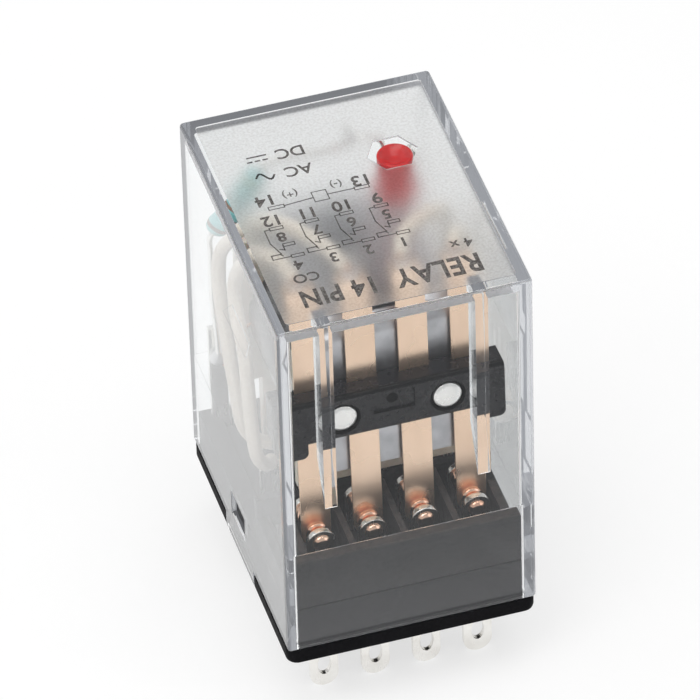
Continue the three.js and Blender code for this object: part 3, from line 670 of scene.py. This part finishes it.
# ---------- flexible leads ----------
LEAD_START_Y, LEAD_TOP, LEAD_END_Z = -4.95, 32.9, 9.85
BARE_RADIUS = 0.3
LEAD_ROUTES = {
    4: [(-6.6, LEAD_START_Y, LEAD_TOP), (-7.0, -3.0, 33.2), (-8.2, 0.6, 31.4), (-8.85, 2.2, 27.5),
        (-8.85, -0.2, 22.5), (-8.8, -1.2, 16.0), (-8.4, -1.4, 12.0), (-7.3, -0.5, 10.1),
        (-6.7, 0.4, LEAD_END_Z)],
    3: [(-2.2, LEAD_START_Y, LEAD_TOP), (-3.2, -2.4, 33.4), (-6.2, 2.8, 32.6), (-8.5, 6.2, 28.5),
        (-8.85, 6.9, 25.0), (-8.85, 5.4, 20.5), (-8.8, 3.3, 16.0), (-8.3, 2.1, 11.8),
        (-6.4, 1.9, 10.2), (-3.4, 1.4, 10.0), (-2.4, 0.8, LEAD_END_Z)],
    2: [(2.2, LEAD_START_Y, LEAD_TOP), (3.4, -2.6, 33.3), (7.2, 0.6, 32.0), (8.8, 3.0, 28.0),
        (8.85, 4.2, 24.0), (8.85, 4.0, 20.0), (8.8, 3.0, 15.5), (8.3, 2.1, 11.8), (6.4, 1.9, 10.2),
        (3.4, 1.4, 10.0), (2.4, 0.8, LEAD_END_Z)],
    1: [(6.6, LEAD_START_Y, LEAD_TOP), (7.4, -3.6, 32.8), (8.7, -1.8, 30.2), (8.85, -1.0, 26.0),
        (8.85, -0.9, 21.0), (8.8, -1.2, 16.0), (8.4, -1.4, 12.0), (7.3, -0.5, 10.1),
        (6.7, 0.4, LEAD_END_Z)],
}


def weave(angle, distance, total):
    """Crossed strands, eight each way round, drawn in a little at both cut ends."""
    strands = math.cos(4 * angle + 5.2 * distance) * math.cos(4 * angle - 5.2 * distance)
    end = min(distance, total - distance)
    return (1 + 0.045 * strands) * (1 if end > 0.25 else 0.86 + 0.14 * math.sqrt(end / 0.25))


def strands(angle, distance, total):
    """Six twisted strands of bare wire."""
    return 1 + 0.1 * math.cos(6 * angle + 3.0 * distance)


def blended(mesh, name, material, stands_for=()):
    """A piece of lead at a pole, with its placement baked into the mesh and on no body."""
    obj = bpy.data.objects.new(name, mesh)
    bpy.context.scene.collection.objects.link(obj)
    mesh.materials.append(material)
    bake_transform(obj)
    if stands_for:
        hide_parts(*stands_for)


def part_way(a, b, share):
    return tuple(Vector(a).lerp(Vector(b), share))


for index, x in enumerate(POLES):
    pole = 4 - index
    route = LEAD_ROUTES[pole]
    node = f"flexible_lead_{pole}"
    sleeve = tube_mesh(node + "_sleeve", route, 0.57, 32, 300, weave)
    blended(sleeve, node + "_sleeve", SLEEVE, (node,))
    top = [(x, -5.75, 32.93), (x, -5.45, 32.95), route[0], part_way(route[0], route[1], 0.3)]
    bare = tube_mesh(node + "_strands", top, BARE_RADIUS, 24, 24, strands)
    blended(bare, node + "_strands", COPPER)
    tail = [part_way(route[-2], route[-1], 0.7), route[-1], (x, 0.62, 9.2), (x, 0.95, 8.2)]
    mesh = tube_mesh(node + "_tail", tail, BARE_RADIUS, 24, 30, strands)
    place(mesh, node + "_tail", COPPER, "relay")
    solder(f"solder_joint_{8 + pole}", (x, 0.75, 8.35), (0.95, 0.5, 0.75), pole)
    crown = hung((x, -6.05, 32.86))
    solder(f"spring_solder_{pole}", crown, (0.7, 0.55, 0.2), pole + 4, "armature_set", 0.08)


# ---------- coil ----------
def coil_profile():
    front, rear = FLANGE_FRONT + 1.1, FLANGE_REAR - 1.1
    steps = 24
    made = [(3.6, front), (COIL_RADIUS - 0.32, front)]
    for i in range(steps + 1):
        t = i / steps
        swell = 0.06 * math.sin(9.0 * t) * math.sin(math.pi * t)
        edge = 0.16 * (1 - min(1, 6 * min(t, 1 - t)))
        made.append((COIL_RADIUS - 0.14 + swell - edge, front + 0.25 + (rear - front - 0.5) * t))
    made += [(COIL_RADIUS - 0.32, rear), (3.6, rear), (3.6, front)]
    return made


def tape_layer():
    """The last turn of tape: a thin band that ends in a visible straight edge."""
    bm = bmesh.new()
    front, rear = FLANGE_FRONT + 1.3, FLANGE_REAR - 1.3
    count, wide = 96, 12
    inner, outer = [], []
    for i in range(count + 1):
        a = math.radians(25 + 400 * i / count)
        lift = 0.05 * i / count
        rows = []
        for base in (-0.03, 0.02):
            row = []
            for k in range(wide + 1):
                y = front + (rear - front) * k / wide
                ripple = 0.012 * math.sin(3 * a + 2.1 * y) + 0.008 * math.sin(7 * a - 3.3 * y)
                r = COIL_RADIUS - 0.09 + lift + base + ripple
                row.append(bm.verts.new((r * math.cos(a), y, COIL_Z + r * math.sin(a))))
            rows.append(row)
        inner.append(rows[0])
        outer.append(rows[1])
    for i in range(count):
        for k in range(wide):
            bm.faces.new((outer[i][k], outer[i + 1][k], outer[i + 1][k + 1], outer[i][k + 1]))
            bm.faces.new((inner[i][k], inner[i][k + 1], inner[i + 1][k + 1], inner[i + 1][k]))
        for k in (0, wide):
            bm.faces.new((inner[i][k], inner[i + 1][k], outer[i + 1][k], outer[i][k]))
    for i in (0, count):
        for k in range(wide):
            bm.faces.new((inner[i][k], outer[i][k], outer[i][k + 1], inner[i][k + 1]))
    return to_mesh(bm, "coil_tape", 40)


coil_place = Matrix.Translation((0, 0, COIL_Z))
turns = turned_mesh("coil_turns", coil_profile(), coil_place, 72, soften=False)
place(turns, "coil_turns", TURNS, "relay", ("coil_winding",), "coil_tape")
place(tape_layer(), "coil_tape", TAPE, "relay", (), "coil_tape")

for side, sign in (("left", -1), ("right", 1)):
    route = [(sign * 6.2, 6.6, 19.4), (sign * 7.0, 6.9, 18.6), (sign * 7.5, 7.4, 17.0),
             (sign * 7.7, 8.6, 14.4), (sign * 7.9, 9.8, 12.4), (sign * 8.1, 10.0, 12.9)]
    node = f"coil_wire_{side}"
    mesh = tube_mesh(node + "_drawn", route, 0.13, 12, 40)
    place(mesh, node + "_drawn", ENAMEL, "relay", (node,), "enamel_wire")
    solder(f"coil_solder_{side}", (sign * 8.3, 9.98, 13.4), (0.75, 0.38, 0.95), sign + 2)


# ---------- lamp ----------
UPRIGHT = Matrix.Rotation(math.radians(90), 4, "X")


def standing(x, y, z):
    """Turns a piece made about +Y to stand about +Z at a place."""
    return Matrix.Translation((x, y, z)) @ UPRIGHT


lamp_profile = [(0, 0), (1.85, 0), (1.85, 0.8), (1.5, 0.8), (1.5, 3.5)]
for step in range(1, 9):
    turn = math.radians(135 * step / 8)
    lamp_profile.append((1.35 + 0.15 * math.cos(turn), 3.7 + 0.2 * math.sin(turn)))
lamp_profile += [(0.9, 3.6), (0.5, 3.35), (0, 3.25)]
resin = turned_mesh("led_resin", lamp_profile, standing(LED_X, LED_Y, LED_FOOT), 64)
place(resin, "led_resin", RESIN, "relay", ("led",), "led_red")

cup = [(0, 0.2), (0.3, 0.2), (0.3, 1.5), (0.45, 1.8), (0.62, 2.6)]
cup += [(0.52, 2.6), (0.28, 2.1), (0, 2.05)]
mesh = turned_mesh("led_cup", cup, standing(LED_X - 0.6, LED_Y, LED_FOOT), 32)
place(mesh, "led_cup", SILVER, "relay")
post = [(0, 0.2), (0.24, 0.2), (0.24, 1.8), (0.36, 2.1), (0.3, 2.5), (0, 2.55)]
mesh = turned_mesh("led_post", post, standing(LED_X + 0.85, LED_Y, LED_FOOT), 24)
place(mesh, "led_post", SILVER, "relay")

LEAD_TOP_Z = LED_FOOT - 0.05
WIRE_ROUTES = {
    "led_lead_inner": [
        (LED_X - 0.9, LED_Y, LEAD_TOP_Z), (LED_X - 0.9, 6.1, 29.6), (4.6, 8.0, 29.7),
        (5.4, 9.3, 31.0), (5.2, 9.8, 32.4), (4.0, 10.1, 32.8), (2.9, 10.8, 32.9), (2.7, 11.9, 32.9),
    ],
    "led_lead_outer": [
        (LED_X + 0.9, LED_Y, LEAD_TOP_Z), (LED_X + 1.0, 6.1, 29.6), (6.9, 8.2, 29.9),
        (7.4, 9.3, 31.4), (8.1, 10.0, 30.4), (8.5, 10.2, 27.0), (8.5, 9.9, 21.0), (8.4, 9.6, 17.0),
        (8.4, 9.7, 14.0),
    ],
}

# ---------- resistor ----------
end_curve = (
    (0, 0), (0.35, 0.02), (0.7, 0.14), (0.92, 0.4),
    (0.98, 0.75), (0.96, 1.1), (0.86, 1.5), (0.82, 1.8),
)
resistor_profile = [(r, y - RESISTOR_HALF) for r, y in end_curve] + [(0.82, 0)]
resistor_profile += [(r, -y) for r, y in resistor_profile[-2::-1]]
body = turned_mesh("resistor_body", resistor_profile, UPRIGHT, 48, soften=False)
resistor = bpy.data.objects.new("resistor_body", body)
bpy.context.scene.collection.objects.link(resistor)
body.materials.append(LACQUER)
resistor_turn = Matrix.Rotation(RESISTOR_TILT, 4, "Y")
resistor.matrix_world = Matrix.Translation(RESISTOR_CENTRE * MM) @ resistor_turn
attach(resistor, "relay")
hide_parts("resistor")


def resistor_end(distance):
    """A point on the resistor's axis, as far above its centre as the distance."""
    axis = Vector((math.sin(RESISTOR_TILT), 0, math.cos(RESISTOR_TILT)))
    return tuple(RESISTOR_CENTRE + axis * distance)


WIRE_ROUTES["resistor_lead_inner"] = [
    resistor_end(RESISTOR_HALF - 0.3), resistor_end(RESISTOR_HALF + 0.5), (-4.0, 9.25, 33.2),
    (-0.8, 9.25, 33.1), (1.4, 9.5, 33.0), (2.6, 10.1, 32.85),
]
WIRE_ROUTES["resistor_lead_outer"] = [
    resistor_end(-RESISTOR_HALF + 0.3), resistor_end(-RESISTOR_HALF - 0.5), (-8.75, 9.5, 25.5),
    (-8.7, 9.7, 20.0), (-8.5, 9.7, 16.5), (-8.4, 9.7, 14.0),
]
for node, route in WIRE_ROUTES.items():
    mesh = tube_mesh(node + "_drawn", route, 0.24, 16, 80)
    place(mesh, node + "_drawn", TIN, "relay", (node,), "tinned")
solder("lead_solder", (2.75, 10.3, 32.83), (0.5, 0.6, 0.45), 1.3)


# ---------- printing on the cover's panel ----------
INK_LOW, INK_HIGH = PANEL_Z + 0.004, PANEL_Z + 0.014


def ink_box(bm, a, b, width):
    """A straight inked stroke from a to b, points (x, y) on the panel."""
    start, end = Vector((*a, 0)), Vector((*b, 0))
    along = (end - start).normalized() * (width / 2)
    across = Vector((-along.y, along.x, 0))
    start, end = start - along, end + along
    corners = (start - across, end - across, end + across, start + across)
    low = [bm.verts.new((c.x, c.y, INK_LOW)) for c in corners]
    high = [bm.verts.new((c.x, c.y, INK_HIGH)) for c in corners]
    bm.faces.new(low[::-1])
    bm.faces.new(high)
    for i in range(4):
        j = (i + 1) % 4
        bm.faces.new((low[i], low[j], high[j], high[i]))


def ink_path(bm, points, width=0.1):
    for a, b in zip(points, points[1:]):
        ink_box(bm, a, b, width)


def ink_frame(bm, x, y, wide, tall, width=0.085):
    w, t = wide / 2, tall / 2
    corners = [(x - w, y - t), (x + w, y - t), (x + w, y + t), (x - w, y + t)]
    ink_path(bm, corners + corners[:1], width)


def ink_text(bm, body, x, y, size, weight=0.02, spacing=1.0, tall=1.0):
    """Characters that read from the rear, so their tops point to the front."""
    curve = bpy.data.curves.new("characters", "FONT")
    curve.body = body
    curve.size = size
    curve.align_x, curve.align_y = "CENTER", "CENTER"
    curve.extrude = (INK_HIGH - INK_LOW) / 2
    curve.offset = weight
    curve.space_character = spacing
    curve.resolution_u = 4
    holder = bpy.data.objects.new("characters", curve)
    bpy.context.scene.collection.objects.link(holder)
    bpy.context.view_layer.update()
    graph = bpy.context.evaluated_depsgraph_get()
    mesh = bpy.data.meshes.new_from_object(holder.evaluated_get(graph))
    turn = Matrix.Translation((x, y, (INK_LOW + INK_HIGH) / 2)) @ Matrix.Rotation(math.pi, 4, "Z")
    mesh.transform(turn @ Matrix.Diagonal((1, tall, 1, 1)))
    bm.from_mesh(mesh)
    bpy.data.objects.remove(holder)
    bpy.data.curves.remove(curve)
    bpy.data.meshes.remove(mesh)


def circuit_mesh():
    """The usual drawing of four changeover contacts and a coil, its terminals as small frames."""
    bm = bmesh.new()
    ink_frame(bm, -6.1, 1.25, 1.3, 0.36)
    ink_path(bm, [(-5.45, 1.25), (-3.0, 1.45)])
    ink_frame(bm, -2.35, 1.5, 1.2, 1.2)
    ink_path(bm, [(-1.75, 1.5), (0.5, 1.5)])
    ink_frame(bm, 1.1, 1.45, 1.2, 0.36)
    for x in (-7.0, -4.05, -1.15, 1.75):
        ink_frame(bm, x + 0.15, -1.2, 1.1, 0.34)
        ink_path(bm, [(x - 0.4, -1.2), (x - 0.85, -1.25), (x - 0.85, -2.9), (x - 0.35, -4.35)])
        ink_frame(bm, x + 0.55, -3.35, 0.95, 0.34)
        ink_path(bm, [(x + 0.05, -3.35), (x + 0.05, -3.95), (x - 0.3, -3.75)])
        ink_frame(bm, x + 0.85, -4.85, 1.05, 0.34)
        ink_path(bm, [(x + 0.3, -4.85), (x - 1.2, -4.85), (x - 1.2, -4.35)])
        ink_path(bm, [(x - 1.2, -4.35), (x - 0.45, -4.35), (x - 0.3, -4.6)])
    return to_mesh(bm, "printed_circuit")


def numbers_mesh():
    bm = bmesh.new()
    for column, x in enumerate((1.75, -1.15, -4.05, -7.0)):
        ink_text(bm, str(9 + column), x + 0.1, -0.15, 1.75, 0.035)
        ink_text(bm, str(5 + column), x + 0.25, -2.3, 1.55, 0.035)
        ink_text(bm, str(1 + column), x + 0.55, -5.95, 1.55, 0.035)
    ink_text(bm, "14", -6.7, 2.35, 1.75, 0.035)
    ink_text(bm, "(+)", -4.6, 2.45, 1.1, 0.01)
    ink_text(bm, "13", 1.3, 2.35, 1.75, 0.035)
    ink_text(bm, "(-)", -0.75, 2.45, 1.1, 0.01)
    return to_mesh(bm, "printed_numbers")


def words_mesh():
    """Generic words in the two largest sizes, and the signs for alternating and direct current."""
    bm = bmesh.new()
    ink_text(bm, "RELAY", 3.95, -10.05, 2.35, 0.06, 1.08, 1.28)
    ink_text(bm, "14 PIN", -4.3, -10.05, 2.15, 0.06, 1.08, 1.28)
    ink_text(bm, "4 x", 6.6, -7.6, 1.45, 0.02)
    ink_text(bm, "CO", -6.3, -7.6, 1.45, 0.02)
    ink_text(bm, "DC", -3.1, 7.5, 1.7, 0.02)
    ink_path(bm, [(-5.1, 7.75), (-6.6, 7.75)], 0.16)
    for x in (-5.2, -5.85, -6.5):
        ink_path(bm, [(x + 0.1, 7.2), (x - 0.2, 7.2)], 0.16)
    ink_text(bm, "AC", -3.1, 5.15, 1.7, 0.02)
    wave = [(-5.1 - 1.5 * i / 12, 5.15 - 0.42 * math.sin(2 * math.pi * i / 12)) for i in range(13)]
    ink_path(bm, wave, 0.16)
    return to_mesh(bm, "printed_words")


for maker in (circuit_mesh, numbers_mesh, words_mesh):
    mesh = maker()
    place(mesh, mesh.name, INK, "relay")


# ---------- studio ----------
# A ray that has crossed more surfaces than this has been inside the cover, and a mirrored ray
# that has crossed fewer came off its near wall or its top.
NEAR_WALL_CROSSINGS = 2.5
TABLE_GLOW, DIMMED_GLOW = 0.66, 0.05
DIM_FULL_Y, DIM_END_Y = -42, -15
CARD_DIRECTION = Vector((0.206, 0.718, 0.664)).normalized()
OPEN_SKY, CARD_SKY, INSIDE_SKY = 0.5, 0.12, 0.6


def make_floor():
    """A pale glowing table. Its glow is dimmed in front of the object for mirrored rays only,
    so that the cover's front wall stays clear to look through."""
    bm = bmesh.new()
    bmesh.ops.create_circle(bm, cap_ends=True, segments=96, radius=2.5)
    mesh = bpy.data.meshes.new("floor")
    bm.to_mesh(mesh)
    bm.free()
    floor = bpy.data.objects.new("floor", mesh)
    bpy.context.scene.collection.objects.link(floor)
    floor.location.z = (BLADE_TIP - 0.02) * MM
    f = Finish("pale_floor", Specular_IOR_Level=0.05)
    f.roughness(f.spread(f.noise(0.05), 0.7, 0.8))
    f.shader.inputs["Emission Color"].default_value = (1, 1, 1, 1)
    front = f.spread(f.axis(1), 1, 0, DIM_FULL_Y, DIM_END_Y)
    path = f.node("LightPath")
    near = f.maths("LESS_THAN", path.outputs["Transmission Depth"], NEAR_WALL_CROSSINGS)
    mirrored = f.maths("MULTIPLY", path.outputs["Is Glossy Ray"], near)
    dimmed = f.maths("MULTIPLY", mirrored, front)
    glow = f.maths("MULTIPLY_ADD", dimmed, DIMMED_GLOW - TABLE_GLOW, TABLE_GLOW)
    f.link(glow, f.shader.inputs["Emission Strength"])
    pale = f.mix(f.noise(0.02), (0.34, 0.34, 0.34), (0.38, 0.38, 0.38))
    f.colour(f.mix(dimmed, pale, (0.08, 0.08, 0.08)))
    mesh.materials.append(f.material)


def softbox(name, place_at, aim, size, power, tint=(1, 1, 1)):
    data = bpy.data.lights.new(name, "AREA")
    data.shape = "RECTANGLE"
    data.size, data.size_y = size
    data.energy = power
    data.color = tint
    lamp = bpy.data.objects.new(name, data)
    bpy.context.scene.collection.objects.link(lamp)
    lamp.location = place_at
    direction = Vector(aim) - Vector(place_at)
    lamp.rotation_mode = "QUATERNION"
    lamp.rotation_quaternion = direction.to_track_quat("-Z", "Y")


def make_light():
    """White surroundings with a dark card behind and above, which keeps the cover's top clear
    of glare. Light that comes back from the pieces inside doesn't meet the card."""
    world = bpy.data.worlds.new("studio")
    bpy.context.scene.world = world
    world.use_nodes = True
    tree = world.node_tree
    background = tree.nodes["Background"]
    background.inputs["Color"].default_value = (1.0, 1.0, 1.0, 1)
    aim = tree.nodes.new("ShaderNodeVectorMath")
    aim.operation = "DOT_PRODUCT"
    aim.inputs[1].default_value = CARD_DIRECTION
    tree.links.new(tree.nodes.new("ShaderNodeTexCoord").outputs["Generated"], aim.inputs[0])
    card = tree.nodes.new("ShaderNodeMapRange")
    card.inputs["From Min"].default_value = 0.8
    card.inputs["From Max"].default_value = 0.95
    card.inputs["To Min"].default_value = OPEN_SKY
    card.inputs["To Max"].default_value = CARD_SKY
    tree.links.new(aim.outputs["Value"], card.inputs["Value"])
    inside = tree.nodes.new("ShaderNodeMath")
    inside.operation = "GREATER_THAN"
    inside.inputs[1].default_value = NEAR_WALL_CROSSINGS
    path = tree.nodes.new("ShaderNodeLightPath")
    tree.links.new(path.outputs["Transmission Depth"], inside.inputs[0])
    chosen = tree.nodes.new("ShaderNodeMix")
    chosen.inputs["B"].default_value = INSIDE_SKY
    tree.links.new(inside.outputs[0], chosen.inputs["Factor"])
    tree.links.new(card.outputs["Result"], chosen.inputs["A"])
    tree.links.new(chosen.outputs[0], background.inputs["Strength"])
    middle = (0, 0, 0.015)
    softbox("key", (-0.35, -0.25, 0.6), middle, (0.35, 0.35), 1.2)
    softbox("fill", (0.5, -0.35, 0.35), middle, (0.3, 0.4), 0.4)
    softbox("rear", (-0.45, 0.25, 0.45), middle, (0.3, 0.3), 0.4)
    softbox("top", (0, -0.08, 0.7), middle, (0.5, 0.4), 1.6)


make_floor()
make_light()
settings = bpy.context.scene
settings.view_settings.view_transform = "Standard"
settings.cycles.max_bounces = 32
settings.cycles.transmission_bounces = 32
settings.cycles.transparent_max_bounces = 24
settings.cycles.glossy_bounces = 8
settings.cycles.use_denoising = True
